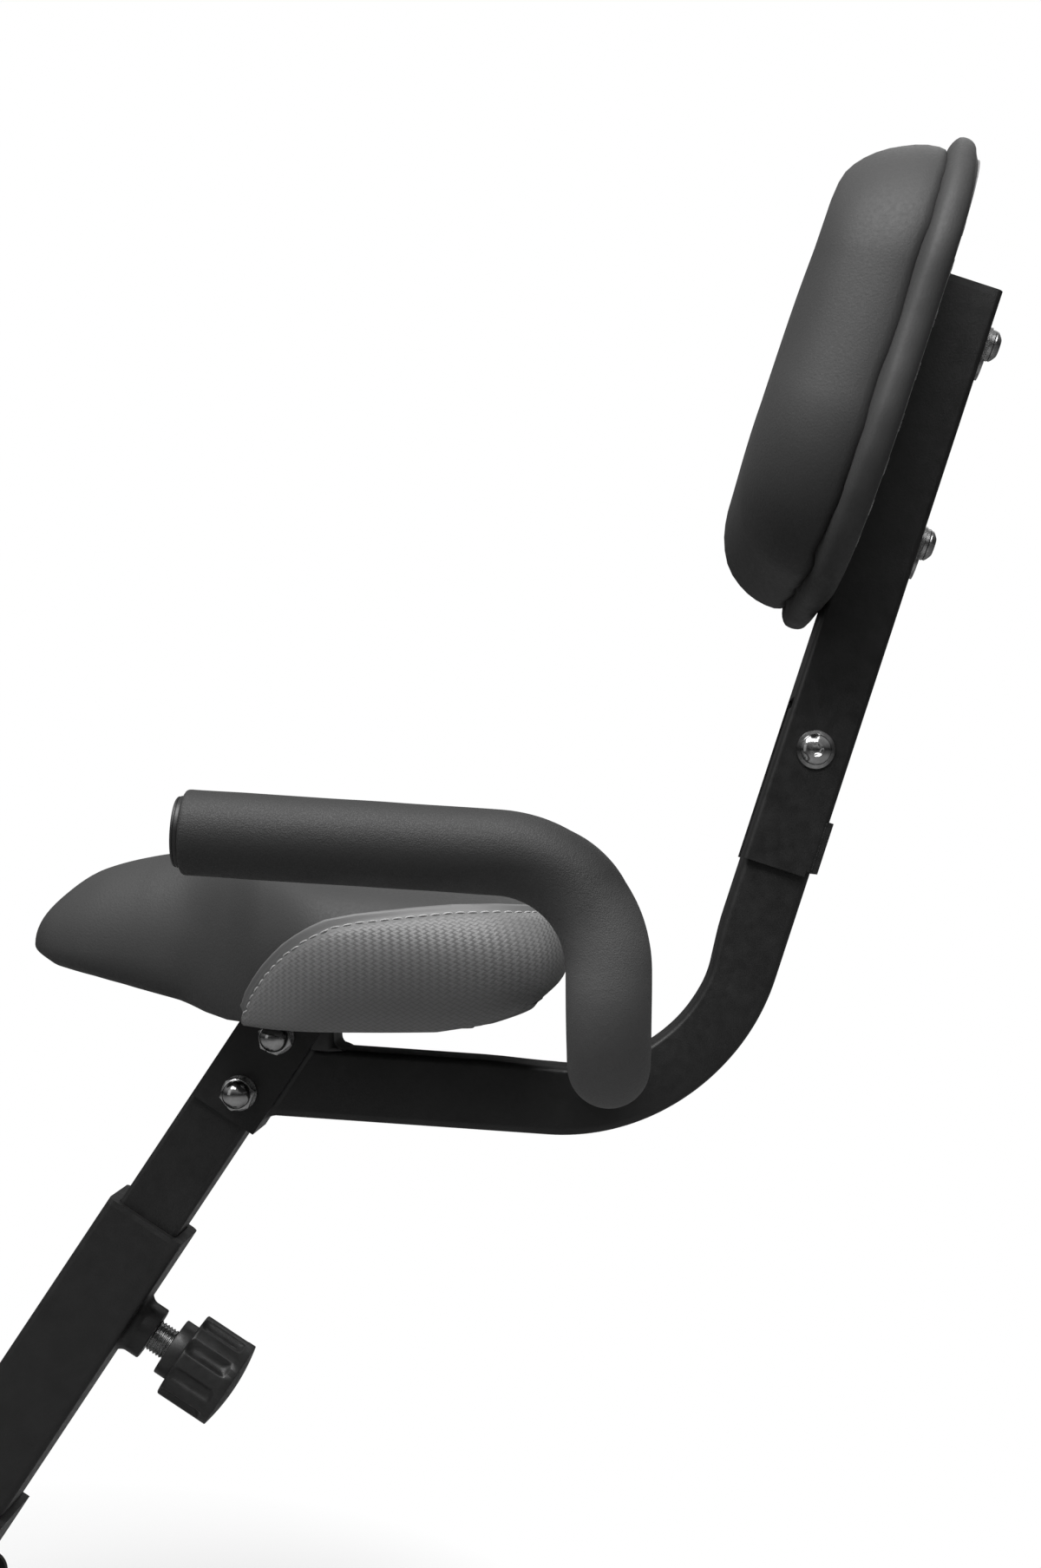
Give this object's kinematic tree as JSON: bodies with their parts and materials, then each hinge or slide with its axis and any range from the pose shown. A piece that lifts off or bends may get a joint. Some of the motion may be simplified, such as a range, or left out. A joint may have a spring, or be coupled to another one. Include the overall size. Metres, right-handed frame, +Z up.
{
  "type": "folding exercise seat unit",
  "caption": "Adjustable seat post with a padded saddle, U-shaped foam-grip handlebar and a padded backrest that folds forward over the seat.",
  "frame": {"origin": "centre of the frame pivot's bore, on the middle plane", "axes": "+X rearwards, +Y to the far side, +Z up; the seat post leans 33.6 degrees from +Z towards +X"},
  "size_m": [0.6784, 0.4214, 0.8672],
  "materials": {
    "black_paint": "satin powder coat",
    "zinc_steel": "zinc plated",
    "bright_steel": "bright",
    "black_plastic": "moulded, matt",
    "white_nylon": "matt",
    "grip_foam": "closed-cell foam, matt",
    "vinyl": "smooth upholstery vinyl",
    "panel_vinyl": "basket-weave embossed vinyl",
    "thread": "sewing thread",
    "backing_cloth": "non-woven cloth",
    "plywood": "raw"
  },
  "bodies": {
    "main_tube": {"main_tube": "black_paint", "post_bush": "black_plastic", "pivot_bracket": "black_paint", "pivot_sleeve": "zinc_steel", "main_tube_plug": "black_plastic", "knob_weld_nut": "black_paint"},
    "lock_pin": {"lock_pin": "zinc_steel"},
    "knob": {"knob_stud": "zinc_steel", "knob_grip": "black_plastic", "knob_cap": "black_plastic"},
    "seat_carriage": {"inner_post": "black_paint", "inner_post_plug": "white_nylon", "seat_channel": "black_paint", "carriage_bolts": "zinc_steel", "carriage_washers": "zinc_steel", "carriage_acorn_nuts": "bright_steel", "frame_tube": "black_paint", "frame_tube_plug": "black_plastic", "seat_plate": "black_paint", "seat_bolts": "zinc_steel", "seat_washers": "zinc_steel", "seat_base": "black_plastic", "seat_inserts": "zinc_steel", "seat_cushion": "vinyl", "handlebar": "black_paint", "grip_left": "grip_foam", "grip_right": "grip_foam", "grip_cap_left": "black_plastic", "grip_cap_right": "black_plastic", "pivot_bushes": "white_nylon", "pivot_spacer": "zinc_steel"},
    "backrest": {"back_bracket": "black_paint", "stop_plate": "black_paint", "back_bracket_cap": "black_plastic", "pivot_bolt": "bright_steel", "pivot_washer": "zinc_steel", "pivot_nut": "zinc_steel", "back_bolts": "zinc_steel", "back_spring_washers": "zinc_steel", "back_plate_washers": "zinc_steel", "back_board": "plywood", "back_t_nuts": "zinc_steel", "back_cushion": "vinyl"}
  },
  "joints": [
    {"name": "post_slide", "type": "slide", "parent": "main_tube", "child": "seat_carriage", "axis": [0.5534, 0, 0.8329], "range_m": [-0.05, 0.1]},
    {"name": "lock_pin_slide", "type": "slide", "parent": "main_tube", "child": "lock_pin", "axis": [-0.8329, 0, 0.5534], "range_m": [0, 0.008]},
    {"name": "knob_turn", "type": "hinge", "parent": "lock_pin", "child": "knob", "pos_m": [0.12111, 0, 0.12988], "axis": [-0.8329, 0, 0.5534], "range_deg": [0, 1440]},
    {"name": "backrest_fold", "type": "hinge", "parent": "seat_carriage", "child": "backrest", "pos_m": [0.4739, 0, 0.4714], "axis": [0, -1, 0], "range_deg": [0, 104]}
  ],
  "couplings": [
    {"joint": "lock_pin_slide", "follows": "knob_turn", "m_per_rad": 0.0003183}
  ]
}
